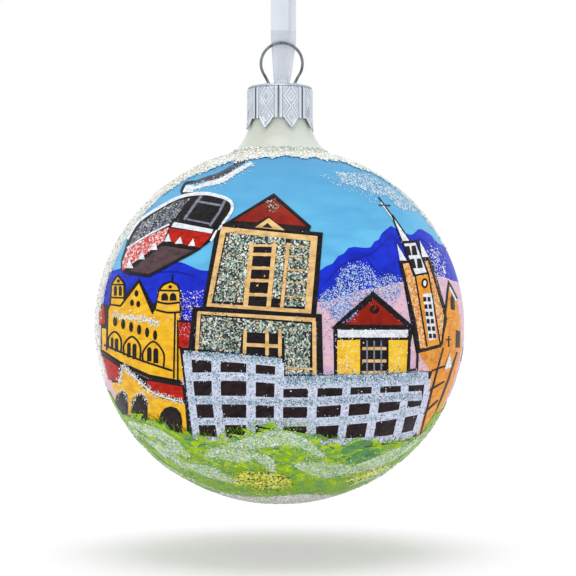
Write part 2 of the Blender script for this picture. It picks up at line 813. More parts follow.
class Picture:
    """One part of the painted scene: films, lines and flakes that end up as one piece on the ball."""

    def __init__(self, name):
        self.name = name
        self.turn = 0.0
        self.points = []
        self.tones = []
        self.faces = []
        self.face_paints = []
        self.paints = []
        self.draw = random.Random(name)

    def number(self, paint):
        if paint not in self.paints:
            self.paints.append(paint)
        return self.paints.index(paint)

    def lay(self, paint, tops, bottoms, faces):
        """A closed film: faces over the tops, the same over the bottoms, and a wall round the edge."""
        first = len(self.points)
        under = first + len(tops)
        self.points += tops + bottoms
        self.tones += [(1, 1, 1, 1)] * (len(tops) * 2)
        edges = {edge for face in faces for edge in zip(face, face[1:] + face[:1])}
        rims = sorted(edge for edge in edges if edge[::-1] not in edges)
        film = [tuple(first + i for i in face) for face in faces]
        film += [tuple(under + i for i in reversed(face)) for face in faces]
        film += [(first + b, first + a, under + a, under + b) for a, b in rims]
        self.faces += film
        self.face_paints += [self.number(paint)] * len(film)

    def fill(self, paint, outline, height):
        """Paint inside an outline."""
        card = [tuple(point) for point in outline]
        area = sum(a[0] * b[1] - b[0] * a[1] for a, b in zip(card, card[1:] + card[:1]))
        if area < 0:
            card.reverse()
        faces = []
        for face in tessellate_polygon([[Vector((x, z, 0)) for x, z in card]]):
            a, b, c = (Vector(card[i]) for i in face)
            turned_right = (b - a).cross(c - a) > 0
            faces.append(tuple(face) if turned_right else tuple(reversed(face)))
        faces = self.refined(card, faces)
        tops = [on_glass(x, z, height, self.turn) for x, z in card]
        bottoms = [on_glass(x, z, UNDERSIDE, self.turn) for x, z in card]
        self.lay(paint, tops, bottoms, faces)

    def refined(self, card, faces):
        """Halves long edges until the film lies close to the round glass."""
        while True:
            middles = {}
            seen = set()
            for face in faces:
                for a, b in zip(face, face[1:] + face[:1]):
                    key = (min(a, b), max(a, b))
                    if key in seen:
                        continue
                    seen.add(key)
                    span = on_glass(*card[a], 0) - on_glass(*card[b], 0)
                    if span.length > FILM_STEP * MM:
                        middles[key] = len(card)
                        card.append(tuple((Vector(card[a]) + Vector(card[b])) / 2))
            if not middles:
                return faces
            halved = []
            for face in faces:
                ring = []
                for a, b in zip(face, face[1:] + face[:1]):
                    ring.append(a)
                    if (min(a, b), max(a, b)) in middles:
                        ring.append(middles[(min(a, b), max(a, b))])
                if len(ring) == 6:
                    a, p, b, q, c, r = ring
                    halved += [(a, p, r), (p, b, q), (q, c, r), (p, q, r)]
                    continue
                while len(ring) > 3 and ring[0] in face:
                    ring = ring[1:] + ring[:1]
                if len(ring) == 5 and ring[-1] not in face:
                    ring = ring[-1:] + ring[:-1]
                halved += [(ring[0], ring[i], ring[i + 1]) for i in range(1, len(ring) - 1)]
            faces = halved

    def line(self, paint, width, route, height, taper=0.0, dome=0.05):
        """A brushed line along the route, a little thicker along its middle."""
        points = [Vector(point) for point in route]
        closed = (points[0] - points[-1]).length < 0.01
        spaced = []
        for a, b in zip(points, points[1:]):
            pieces = max(1, math.ceil((b - a).length / 1.5))
            spaced += [a + (b - a) * i / pieces for i in range(pieces)]
        if not closed:
            spaced.append(points[-1])
        count = len(spaced)
        tops = []
        bottoms = []
        for i, here in enumerate(spaced):
            before = spaced[i - 1] if i or closed else here * 2 - spaced[1]
            after = spaced[(i + 1) % count] if i < count - 1 or closed else here * 2 - spaced[i - 1]
            along = ((here - before).normalized() + (after - here).normalized()).normalized()
            side = Vector((-along.y, along.x))
            corner = max(0.55, along.dot((after - here).normalized()))
            share = i / max(1, count - 1)
            half = width / 2 / corner * (1 - taper * abs(share * 2 - 1) ** 1.5)
            for across, drop in ((half, dome), (0, 0), (-half, dome)):
                x, z = here + side * across
                tops.append(on_glass(x, z, height - drop, self.turn))
                bottoms.append(on_glass(x, z, UNDERSIDE, self.turn))
        faces = []
        for i in range(count if closed else count - 1):
            a = 3 * i
            b = 3 * ((i + 1) % count)
            faces += [(a + 1, a + 2, b + 2, b + 1), (a, a + 1, b + 1, b)]
        self.lay(paint, tops, bottoms, faces)

    def lines(self, paint, width, routes, height, taper=0.0):
        for route in routes:
            self.line(paint, width, route, height, taper)

    def box(self, paint, left, right, foot, top, height):
        self.fill(paint, [(left, foot), (right, foot), (right, top), (left, top)], height)

    def oval(self, paint, x, z, width, tall, height, steps=14):
        self.fill(paint, ellipse(x, z, width, tall, steps), height)

    def belt(self, paint, foot, top, height):
        """A coat right round the ball between two edges, each given by its level at every turn."""
        turns = [360 * i / BELT_COLUMNS for i in range(BELT_COLUMNS)]
        rows = max(2, math.ceil(max(slant(top(turn)) - slant(foot(turn)) for turn in turns) / 0.055))
        tops = []
        bottoms = []
        for turn in turns:
            low, high = slant(foot(turn)), slant(top(turn))
            for row in range(rows + 1):
                level = math.sin(low + (high - low) * row / rows) * BALL_HEIGHT / 2
                tops.append(round_glass(turn, level, height))
                bottoms.append(round_glass(turn, level, UNDERSIDE))
        faces = []
        stride = rows + 1
        for i in range(BELT_COLUMNS):
            a = i * stride
            b = (i + 1) % len(turns) * stride
            faces += [(a + j, b + j, b + j + 1, a + j + 1) for j in range(rows)]
        self.lay(paint, tops, bottoms, faces)

    def flake(self, place, size, tones, smallest=0.7, largest=1.4):
        """A grain of glitter: a flat crystal of a chance size and tone, stuck on at a chance tilt."""
        size *= self.draw.uniform(smallest, largest)
        tone = srgb(*self.draw.choice(tones))
        out = (place - ball_centre).normalized()
        tilt = Vector([self.draw.uniform(-1, 1) for _ in range(3)]) * 0.45
        out = (out + tilt).normalized()
        first = out.orthogonal().normalized()
        first.rotate(Quaternion(out, self.draw.uniform(0, math.pi)))
        second = out.cross(first)
        start = len(self.points)
        self.points += [place + spoke * size * MM for spoke in (first, second, -first, -second)]
        self.points += [place + out * size * 0.4 * MM, place - out * size * 0.4 * MM]
        self.tones += [tone] * 6
        for i in range(4):
            j = (i + 1) % 4
            self.faces += [(start + i, start + j, start + 4), (start + j, start + i, start + 5)]
        self.face_paints += [self.number(glitter_flakes)] * 8

    def sprinkle(self, tones, outline, count, height, size=FINE_FLAKE):
        """Flakes shaken inside an outline."""
        xs = [x for x, z in outline]
        zs = [z for x, z in outline]
        placed = 0
        while placed < count:
            x = self.draw.uniform(min(xs), max(xs))
            z = self.draw.uniform(min(zs), max(zs))
            if inside_outline(x, z, outline):
                self.flake(on_glass(x, z, height, self.turn), size, tones)
                placed += 1

    def trail(self, tones, route, spread, count, height, size=FINE_FLAKE):
        """Flakes shaken along a route, thinning out to either side."""
        points = [Vector(point) for point in route]
        lengths = [(b - a).length for a, b in zip(points, points[1:])]
        for i in range(count):
            at = self.draw.uniform(0, sum(lengths))
            j = 0
            while at > lengths[j] and j < len(lengths) - 1:
                at -= lengths[j]
                j += 1
            x, z = points[j] + (points[j + 1] - points[j]) * (at / max(0.001, lengths[j]))
            x += self.draw.gauss(0, spread / 2)
            z += self.draw.gauss(0, spread / 2)
            if on_face(x, z):
                self.flake(on_glass(x, z, height, self.turn), size, tones)

    def finish(self):
        mesh = bpy.data.meshes.new(self.name)
        mesh.from_pydata(self.points, [], self.faces)
        for paint in self.paints:
            mesh.materials.append(paint)
        mesh.polygons.foreach_set("material_index", self.face_paints)
        tone = mesh.color_attributes.new("flake_tone", "FLOAT_COLOR", "POINT")
        tone.data.foreach_set("color", [value for colour in self.tones for value in colour])
        piece = add_object(self.name, mesh)
        smooth_shade(piece, 28)
        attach(piece, "ball")


def enamel(name, light, dark, patch, stretch=(1, 1, 2.2)):
    """Glossy enamel brushed on by hand, its tone uneven where the brush ran dry."""
    material, shader = new_material(name, Roughness=0.38, Specular_IOR_Level=0.08)
    two_tones(material, shader, noise_texture(material, patch, 4, stretch), dark, light, 0.34, 0.6)
    ripple(material, shader, noise_texture(material, 1400, 3, stretch), 0.03, 0.3)
    return material


def brushed_sky():
    """Sky enamel, put on thicker and darker towards the neck."""
    material = enamel("sky_blue", SKY_LIGHT, SKY_DEEP, 120, (1, 1, 3))
    shader = material.node_tree.nodes["Principled BSDF"]
    brushed = shader.inputs["Base Color"].links[0].from_node
    place = add_node(material, "TexCoord")
    split = add_node(material, "SeparateXYZ")
    climb = add_node(material, "MapRange")
    set_inputs(climb, From_Min=ball_centre.z + DARKER_FROM * MM, From_Max=ball_centre.z + DARKEST_AT * MM)
    tone = add_node(material, "Mix")
    tone.data_type = "RGBA"
    set_inputs(tone, B=srgb(*SKY_HIGH))
    connect(material, (place, "Object", split, "Vector"), (split, "Z", climb, "Value"))
    connect(material, (climb, "Result", tone, "Factor"), (brushed, "Color", tone, "A"))
    connect(material, (tone, "Result", shader, "Base Color"))
    return material


def flake_metal():
    material, shader = new_material("glitter_flakes", Metallic=0.35, Roughness=0.25)
    tone = add_node(material, "Attribute")
    tone.attribute_name = "flake_tone"
    connect(material, (tone, "Color", shader, "Base Color"))
    return material


def profile_round(points):
    """The level of a drawn edge at any turn, from its (turn, level) points."""
    ordered = sorted((turn % 360, level) for turn, level in points)
    ordered = [(ordered[-1][0] - 360, ordered[-1][1]), *ordered, (ordered[0][0] + 360, ordered[0][1])]

    def level_at(turn):
        turn %= 360
        for (a, low), (b, high) in zip(ordered, ordered[1:]):
            if a <= turn <= b:
                share = (turn - a) / max(0.001, b - a)
                return low + (high - low) * (1 - math.cos(math.pi * share)) / 2
        return ordered[0][1]

    return level_at


def seen_from(turn, card):
    """Turns and levels of points drawn on a flat card held in front of the ball at this turn."""
    found = []
    for x, z in card:
        place = (on_glass(x, z, 0, math.radians(turn)) - ball_centre) / MM
        found.append((math.degrees(math.atan2(place.x, -place.y)), place.z))
    return found


glitter_flakes = flake_metal()
sky_blue = brushed_sky()
sky = Picture("painted_sky")
sky.belt(sky_blue, lambda turn: SKY_FOOT, lambda turn: SKY_TOP, SKY_COAT)
sky.finish()


# The mountains. A royal blue range all the way round, shaded darker below its crest, with pink evening
# haze at its foot. The stretch behind the ball, seen from no usual side, carries on in the same hand.
MOUNTAIN_BLUE = (26, 48, 200)
MOUNTAIN_DEEP = (18, 36, 170)
CREST_BLUE = (16, 28, 132)
HAZE_PINK = (222, 184, 190)
HAZE_LILAC = (196, 170, 200)

FRONT_CREST = [
    (-40.5, 9.0), (-38.0, 12.3), (-31, 13.6), (-23.2, 14.3), (-16.6, 12.3), (-8, 14), (0, 16.5),
    (5, 13.5), (8.6, 12.3), (11.2, 13.6), (13.7, 15.9), (16, 17.7), (20, 17.4), (21.6, 19), (23.5, 21.3),
    (24.9, 22.4), (26.1, 21.7), (29.2, 20.4), (31.5, 21.7), (33.3, 20.8), (35.7, 18.3),
]
BACK_CREST = [
    (-34, 17), (-27, 21), (-20, 15), (-13, 18), (-6, 13), (1, 16.5), (9, 20.5), (16, 15), (24, 13),
    (32, 11),
]
FRONT_HAZE = [
    (-40.8, -2), (-38, -1.4), (-24, -1), (-12, 0), (4, 4), (9, 5.4), (20, 8.2), (28, 9.8), (36, 11),
    (39, 10),
]
BACK_HAZE = [(-34, 6), (-22, 4), (-10, 7), (2, 5), (14, 7), (26, 4), (34, 1)]
haze_edge = profile_round(seen_from(0, FRONT_HAZE) + seen_from(180, BACK_HAZE))
crest = profile_round(seen_from(0, FRONT_CREST) + seen_from(180, BACK_CREST))
mountain_blue = enamel("mountain_blue", MOUNTAIN_BLUE, MOUNTAIN_DEEP, 300, (1, 1, 1.6))
crest_blue = enamel("crest_blue", CREST_BLUE, MOUNTAIN_DEEP, 600)
haze_pink = enamel("haze_pink", HAZE_PINK, HAZE_LILAC, 350, (1, 1, 2.5))
mountains = Picture("painted_mountains")
mountains.belt(mountain_blue, lambda turn: 0.0, crest, RIDGE_COAT)
mountains.belt(haze_pink, lambda turn: -25.0, haze_edge, HILL_COAT)
mountains.lines(
    crest_blue,
    0.5,
    [
        curved([(-38, 10.6), (-31, 11.6), (-23, 12), (-17, 10)]),
        curved([(10, 9.5), (14, 13.5), (18, 15.2), (21, 16.6), (25, 20)]),
        curved([(24.9, 20.8), (28, 17.6), (30, 18.2), (31.6, 19.6), (34, 17.6)]),
        curved([(19.5, 15.4), (21.5, 12.5), (24, 11), (26, 11.6)]),
    ],
    RIDGE_COAT + 0.05,
    0.6,
)
PINK_FLECKS = [(226, 190, 205), (180, 170, 215), (150, 150, 215), (235, 225, 235)]
BLUE_FLECKS = [(70, 90, 190), (120, 120, 190), (235, 205, 215), (200, 205, 225)]
mountains.sprinkle(BLUE_FLECKS, [
    (8, -2), (31, -2), (34, 12), (24, 11), (8, 8),
], 420, HILL_COAT + 0.05, 0.13)
mountains.sprinkle(PINK_FLECKS, [
    (-28, 8), (-17, 8), (-17, -3), (-23, -3), (-27, 4),
], 420, RIDGE_COAT + 0.06, 0.14)
mountains.finish()


# The clouds. In front they are fine pale blue and white glitter, sprinkled thinly on the wet sky. Behind
# they are strokes of white enamel with silver glitter along them.
SNOW_WHITE = (231, 234, 237)
SNOW_GREY = (192, 200, 208)
SILVER_TONES = [(240, 243, 243), (214, 221, 224), (190, 204, 210), (250, 250, 250)]

snow_white = enamel("snow_white", SNOW_WHITE, SNOW_GREY, 900)


def glitter_paint(name, tones, grain=2600):
    """Enamel so thick with glitter that the grains hide it: cells of many tones, each its own."""
    material, shader = new_material(name, Metallic=0.35, Roughness=0.35)
    place = add_node(material, "TexCoord")
    grains = add_node(material, "TexVoronoi", Scale=grain)
    pick = add_node(material, "SeparateColor")
    ramp = add_ramp(material, *[(i / len(tones), tone) for i, tone in enumerate(tones)])
    ramp.color_ramp.interpolation = "CONSTANT"
    connect(material, (place, "Object", grains, "Vector"), (grains, "Color", pick, "Color"))
    connect(material, (pick, "Red", ramp, "Fac"), (ramp, "Color", shader, "Base Color"))
    ripple(material, shader, grains, 0.12, 0.6, "Distance")
    return material


CLOUD_TONES = [(178, 211, 230), (196, 219, 232), (214, 228, 236), (158, 202, 226), (234, 239, 241)]
clouds = Picture("painted_clouds")
for count, size, outline in (
    (1300, 0.14, [(12.4, 34.6), (20, 34), (26.4, 30), (23, 29), (18, 31), (14, 32.2)]),
    (800, 0.14, [(24, 31.4), (30.6, 27), (31.4, 25.4), (27, 26.2), (24.6, 28.6)]),
    (200, 0.12, [(8, 34.2), (13, 34), (20, 31), (26, 26), (22, 27), (14, 31)]),
):
    clouds.sprinkle(CLOUD_TONES, outline, count, SKY_COAT + 0.07, size)
for turn, level in ((100, 27), (150, 30), (205, 25), (250, 29)):
    clouds.turn = math.radians(turn)
    sweep = curved([(-7, level - 1.5), (-2, level + 0.6), (3, level - 0.2), (8, level + 1.2)])
    clouds.line(snow_white, 1.4, sweep, SKY_COAT + 0.06, 0.9, 0.03)
    clouds.trail(SILVER_TONES, sweep, 2.0, 260, SKY_COAT + 0.08, 0.16)
clouds.finish()


# The cable car. A black-rimmed cabin with a red and white waist hangs from a white cable and shows its
# brown underside.
INK = (14, 14, 16)
INK_WORN = (34, 30, 32)
BERRY_RED = (186, 34, 16)
BERRY_DEEP = (146, 18, 8)
FRAME_GREY = (128, 133, 148)
FRAME_DEEP = (96, 102, 118)
ROD_GREY = (74, 76, 86)
ROD_DEEP = (48, 50, 60)
UNDER_BROWN = (88, 68, 70)
UNDER_DEEP = (66, 50, 54)
DARK_TONES = [(24, 24, 28), (60, 64, 76), (120, 126, 138), (30, 32, 44), (196, 202, 208), (18, 18, 22)]
BERRY_TONES = [(205, 50, 40), (228, 150, 150), (190, 24, 20), (240, 224, 220)]

ink = enamel("ink_black", INK_WORN, INK, 900)
berry_red = enamel("berry_red", BERRY_RED, BERRY_DEEP, 700)
frame_grey = enamel("frame_grey", FRAME_GREY, FRAME_DEEP, 900)
rod_grey = enamel("rod_grey", ROD_GREY, ROD_DEEP, 900)
under_brown = enamel("under_brown", UNDER_BROWN, UNDER_DEEP, 500)
dark_glitter = glitter_paint("dark_glitter", DARK_TONES)
berry_glitter = glitter_paint("berry_glitter", BERRY_TONES)

cabin = Picture("painted_cable_car")
cable = curved([(-19.4, 30.9), (-16.2, 31.9), (-13.1, 32.7), (-9.6, 34.8), (-6.3, 36.6)])
cabin.line(snow_white, 1.2, cable, DETAIL_COAT, 0.5)
cabin.line(rod_grey, 1.3, [(x - 0.5, z + 1.1) for x, z in cable], WALL_COAT, 0.8)
cabin.trail(SILVER_TONES, cable, 1.1, 300, DETAIL_COAT, 0.14)
roof_edge = curved([
    (-34.3, 19.4), (-31.7, 23.5), (-25.9, 27.3), (-22.5, 28.9), (-20, 29.5), (-17.1, 29.7), (-14.9, 29.4),
    (-12.2, 28.6), (-10.9, 27.6), (-10.9, 25.8), (-12.6, 23.3), (-14.6, 20.7), (-15.6, 19), (-18, 17.2),
])
belly = [(-18.3, 17), (-29.6, 11), (-34.8, 11.7), (-35.8, 12.4), (-35.8, 14.6)]
cabin.fill(ink, roof_edge + belly, WALL_COAT)
cabin.line(snow_white, 0.75, roof_edge[:-4], OUTLINE_COAT, 0.3)
cabin.fill(dark_glitter, [
    (-20.2, 28.6), (-24.7, 22.8), (-29.8, 20.6), (-33.8, 18.2), (-33.2, 20), (-31.5, 22.4), (-27.6, 25.7),
    (-23.3, 28),
], DETAIL_COAT)
for share in (0.1, 0.34, 0.62, 0.86):
    foot = Vector((-25, 22.9)).lerp(Vector((-33.6, 18.6)), share)
    head = Vector((-20.6, 28.8)).lerp(Vector((-32.3, 22.6)), share)
    cabin.line(frame_grey, 0.5, [foot, head], PANE_COAT)
cabin.line(snow_white, 0.4, curved([(-24.9, 22.8), (-29.8, 20.3), (-34.4, 17.4)]), OUTLINE_COAT)
cabin.line(frame_grey, 0.6, curved([(-17.6, 29.2), (-18.9, 27.6), (-21.6, 23.8)]), PANE_COAT)
cabin.line(frame_grey, 0.55, [(-12.3, 28.3), (-13.6, 25.6), (-15.8, 22.4)], PANE_COAT)
cabin.line(frame_grey, 0.5, [(-18.5, 27.9), (-12.6, 26.9)], PANE_COAT)
cabin.line(frame_grey, 0.4, [(-20.9, 23.9), (-15.9, 22.9)], PANE_COAT)
cabin.fill(snow_white, [(-23.8, 23.3), (-15, 21.6), (-15.4, 20.7), (-24.5, 22.2)], DETAIL_COAT)
cabin.fill(berry_red, [
    (-24.9, 21.9), (-15.4, 20.6), (-16.1, 19.5), (-18, 17.5), (-24.5, 18.8), (-25.1, 20.5),
], DETAIL_COAT)
cabin.fill(berry_glitter, [
    (-24.9, 22.2), (-26.2, 19), (-35.5, 12.2), (-35.5, 14.3), (-34.4, 17.2), (-29.8, 20),
], DETAIL_COAT)
for left, right, foot, peak_x, peak in (
    (-26.1, -24.5, 18.9, -25.1, 20.7),
    (-23.7, -21.9, 18.4, -22.4, 20),
    (-20.7, -19.1, 17.9, -19.5, 19.6),
    (-29.4, -27.6, 17, -28, 18.9),
    (-32, -30.4, 14.9, -31, 16.9),
    (-34.5, -33, 12.9, -34, 15.2),
):
    cabin.fill(snow_white, [(left, foot), (right, foot), (peak_x, peak)], PANE_COAT)
cabin.fill(under_brown, [(-26.4, 18), (-18.9, 16.8), (-29.6, 11.6), (-34.4, 12.3)], DETAIL_COAT)
cabin.line(ink, 0.7, [
    (-34.8, 11.9), (-26.3, 18.5), (-18.3, 17.2), (-29.6, 11.2), (-34.8, 11.9),
], PANE_COAT)
cabin.fill(snow_white, [(-21.9, 30), (-19.5, 30), (-19.3, 31.5), (-21.2, 31.6)], DETAIL_COAT)
cabin.line(ink, 0.5, curved([(-22.3, 30.0), (-21.3, 32), (-19.1, 32.4)]), PANE_COAT)
cabin.line(ink, 0.5, [(-22.2, 29.7), (-19.6, 29.8)], PANE_COAT)
cabin.trail(DARK_TONES, [(-22, 26), (-32, 20.6)], 1.6, 170, PANE_COAT)
cabin.trail(BERRY_TONES, [(-26, 20.4), (-35, 14.4)], 1.2, 150, PANE_COAT)
cabin.finish()


# The tall office block. Tan frames and a red roof outlined in black, dark windows between tan bars in
# the middle, and window glass of silver and teal glitter at either side. A wider base stands below it.
ROOF_RED = (146, 32, 12)
ROOF_DEEP = (120, 20, 6)
TAN_LIGHT = (228, 190, 128)
TAN_DEEP = (196, 156, 98)
WINDOW_BROWN = (44, 32, 32)
WINDOW_DEEP = (22, 16, 18)
GLASS_TONES = [
    (224, 228, 220), (20, 20, 22), (124, 164, 150), (36, 38, 40), (200, 184, 146), (24, 28, 30),
    (166, 190, 178), (96, 98, 92), (64, 92, 88),
]

roof_red = enamel("roof_red", ROOF_RED, ROOF_DEEP, 350, (1, 1, 0.6))
tan = enamel("wall_tan", TAN_LIGHT, TAN_DEEP, 500)
window_brown = enamel("window_brown", WINDOW_BROWN, WINDOW_DEEP, 600)
glass_glitter = glitter_paint("window_glitter", GLASS_TONES, 3000)

tower = Picture("painted_tower")
tower.fill(ink, [(-14.1, 22.9), (9.3, 20.9), (7.9, 1.8), (-17.4, 3.4)], WALL_COAT)
tower.fill(tan, [(-13.2, 22.3), (8.5, 20.1), (7, 2.6), (-16.6, 4.3)], WALL_COAT + 0.03)
tower.fill(ink, [(-12.2, 21), (7.2, 19.2), (5.8, 3.6), (-15.4, 5)], DETAIL_COAT)
tower.fill(glass_glitter, [(-11.9, 20.8), (-6.6, 20.4), (-8.4, 5.2), (-14.9, 5.5)], PANE_COAT - 0.01)
tower.fill(glass_glitter, [(-6.6, 20.4), (1.3, 19.7), (1.2, 17.9), (-6.8, 18.2)], PANE_COAT - 0.01)
tower.fill(glass_glitter, [(-0.6, 18), (1.4, 18), (0, 6), (-1.8, 6)], PANE_COAT - 0.01)
tower.fill(glass_glitter, [(2.4, 19.4), (6.9, 18.9), (5.6, 4.2), (1, 4.4)], PANE_COAT - 0.01)
for level in (18, 15.9, 12.8, 10, 6.8):
    slope = (level - 4) * 0.1
    tower.line(tan, 0.85, [(-8.6 + slope, level + 0.2), (-1.6 + slope * 0.8, level)], PANE_COAT)
    thin_bar = [(0.6 + slope * 0.1, level - 0.2), (5.7 + slope * 0.1, level - 0.5)]
    tower.line(tan, 0.4, thin_bar, PANE_COAT + 0.03, 0.4)
for top_x, foot_x, width in ((-6.4, -7.8, 1.1), (-1.2, -2.6, 1.0), (1.9, 0.4, 0.8)):
    tower.line(tan, width, [(top_x, 18.6), (foot_x, 4)], PANE_COAT + 0.02)
tower.line(tan, 1.2, [(-12.9, 21.6), (8.1, 19.5)], PANE_COAT + 0.03)
tower.line(tan, 1.3, [(7.6, 19.6), (6.2, 3)], PANE_COAT + 0.03)
tower.line(ink, 0.9, [(-13.9, 22.8), (9.2, 20.5), (7.7, 2.2)], OUTLINE_COAT)
tower.line(ink, 0.9, [(-13.8, 22.6), (-17.1, 4)], OUTLINE_COAT)
roof_line = [(-12, 22.9), (-1.4, 29.4), (6.9, 22.1), (6.6, 20.9), (-11.8, 22.4)]
tower.fill(ink, roof_line, DETAIL_COAT)
tower.fill(roof_red, [
    (-10.9, 23.6), (-1.4, 28.7), (6, 22.3), (-0.7, 22.9), (-2.5, 24.6), (-5.2, 23.2),
], PANE_COAT)
tower.fill(tan, [(-5.6, 22.1), (-2.5, 24.2), (1.1, 21.4)], OUTLINE_COAT)
tower.fill(ink, [(-4, 22.1), (-2.8, 23.1), (-1.6, 21.9)], TRIM_COAT)
tower.line(ink, 0.6, [(-12, 22.9), (-1.4, 29.4), (6.9, 22.1)], TRIM_COAT)
tower.sprinkle(GLASS_TONES, [
    (-3.4, 28), (-1, 28.7), (0.2, 26.6), (-1.4, 25.2), (-3.2, 26.2),
], 110, PANE_COAT, 0.15)
base = [(-19.5, 3.8), (9.2, 2), (9.5, -11.6), (0.4, -11.6), (0.4, -7.4), (-20.8, -6.6)]
tower.fill(ink, base, WALL_COAT + 0.04)
tower.fill(glass_glitter, [(-17.6, 2.2), (7, 0.3), (7, -2.2), (-17.8, -1)], PANE_COAT)
tower.fill(glass_glitter, [(-17.8, -1), (-8.6, -1.6), (-9, -6.6), (-18.4, -6.4)], PANE_COAT)
tower.fill(glass_glitter, [(1, -1.8), (6.9, -2.1), (6.6, -11), (1.2, -11)], PANE_COAT)
for width, *route in (
    (0.8, (-7.8, -0.8), (-8, -6.9)), (0.8, (-2.9, -0.6), (-2.9, -7)), (0.8, (0, -0.8), (0, -7.2)),
    (0.8, (-8.2, -4.3), (0.2, -4.7)), (0.8, (-18.2, 2.9), (-18.8, -6.6)), (0.9, (7.7, 0.9), (7.8, -11.2)),
    (1.0, (-18.5, 3.1), (8, 1.2)), (0.5, (1.4, -9.6), (7.4, -9.8)),
):
    tower.line(tan, width, route, OUTLINE_COAT)
tower.line(ink, 0.9, [(-20.3, -6.2), (-19.2, 3.7), (9, 2.1), (9.3, -11.2)], TRIM_COAT)
tower.trail(GLASS_TONES, [(-9.4, 19.6), (-11.8, 5.4)], 3.2, 620, PANE_COAT)
tower.trail(GLASS_TONES, [(-13, 1.6), (-13.4, -5.6)], 4, 330, PANE_COAT + 0.02)
tower.trail(GLASS_TONES, [(4.6, 18.6), (3, 5)], 2.4, 420, PANE_COAT)
tower.trail(GLASS_TONES, [(4, 0), (4, -10)], 2.6, 300, PANE_COAT + 0.02)
tower.finish()


# The temple front. A red gable with a black disc over a yellow wall and a white lintel, black doors
# barred with tan and grey, and trees of blue and white glitter behind it.
WALL_YELLOW = (238, 198, 52)
WALL_AMBER = (224, 174, 36)
YELLOW_TONES = [WALL_YELLOW, SNOW_WHITE, (250, 226, 150)]

wall_yellow = enamel("wall_yellow", WALL_YELLOW, WALL_AMBER, 400)

TREE_TONES = [
    (168, 202, 232), (36, 58, 188), (214, 228, 240), (110, 156, 216), (230, 238, 244), (140, 180, 224),
    (60, 90, 200), (190, 214, 234),
]
temple = Picture("painted_temple")
for across, level, width, tall in (
    (17.3, 9.6, 9.6, 9.2), (24.4, 8.4, 6, 6), (12.6, 5.6, 7.6, 5.4), (14.5, 3, 6, 4.4),
):
    crown = ellipse(across, level, width * 0.94, tall * 0.94)
    crown.append(crown[0])
    temple.sprinkle(TREE_TONES, crown, round(width * tall * 13), HILL_COAT + 0.06, 0.12)
    temple.trail(TREE_TONES, crown, 0.9, 200, HILL_COAT + 0.08, 0.11)
temple.trail(BLUE_FLECKS, [(10, 2), (12, -10)], 2.4, 90, HILL_COAT + 0.08, 0.12)
temple.fill(ink, [(12, -0.5), (30, -0.5), (29.6, -3.4), (12.2, -3.4)], WALL_COAT)
temple.fill(ink, [(12, -0.9), (29.6, -0.9), (29.2, -12), (12.2, -12.2)], WALL_COAT)
temple.fill(wall_yellow, [(12.9, -3.3), (18.2, -3.3), (18.2, -12), (12.9, -12)], DETAIL_COAT)
temple.fill(wall_yellow, [(24.3, -3.3), (28.8, -3.3), (28.4, -11.6), (24.3, -11.8)], DETAIL_COAT)
temple.fill(snow_white, [(13, -1), (28.9, -1), (28.6, -2.7), (13, -2.7)], DETAIL_COAT)
temple.fill(ink, [(12.6, -0.3), (20.9, 7.3), (29.5, -0.3)], DETAIL_COAT)
temple.fill(roof_red, [(14.4, 0.2), (21.1, 5.9), (27.9, 0.1)], PANE_COAT)
temple.oval(ink, 21.3, 3.6, 2.2, 2.0, OUTLINE_COAT)
temple.line(roof_red, 0.35, curved([(21.2, 4.4), (21.6, 3.9), (20.9, 3.5)]), TRIM_COAT)
temple.line(ink, 1.0, [(12.4, -0.4), (20.9, 7.1), (29.6, -0.4), (12.4, -0.4)], OUTLINE_COAT)
for level in (-5.2, -8, -10.6):
    temple.line(tan, 0.7, [(18.5, level), (24, level)], PANE_COAT)
for across in (19.6, 21.2, 22.8):
    temple.line(frame_grey, 0.35, [(across, -3.4), (across, -11.8)], PANE_COAT + 0.03)
for across in (18.3, 24.2):
    temple.line(ink, 0.5, [(across, -3.2), (across, -12)], OUTLINE_COAT)
temple.trail(YELLOW_TONES, [(15.5, -3.6), (15.5, -11.5)], 2.6, 200, DETAIL_COAT, 0.14)
temple.trail(YELLOW_TONES, [(26.4, -3.6), (26.3, -11)], 2, 150, DETAIL_COAT, 0.14)
temple.trail(SILVER_TONES, [(13.2, -1.8), (28.8, -1.8)], 1, 190, DETAIL_COAT, 0.14)
temple.line(ink, 0.5, [(29.9, -0.4), (31, -5.5), (30.9, -9.9), (28.9, -10.1)], OUTLINE_COAT)
temple.finish()


# The long white block. Black windows in a grid of white-lilac bars that were drawn with glittering
# paint, its wing bending away to the right.
BAR_LILAC = (212, 217, 232)
BAR_SHADE = (180, 188, 210)
BAR_TONES = [
    (236, 240, 246), (130, 196, 196), (206, 212, 230), (76, 136, 144), (250, 250, 252), (52, 66, 96),
    (150, 172, 214), (166, 208, 214),
]

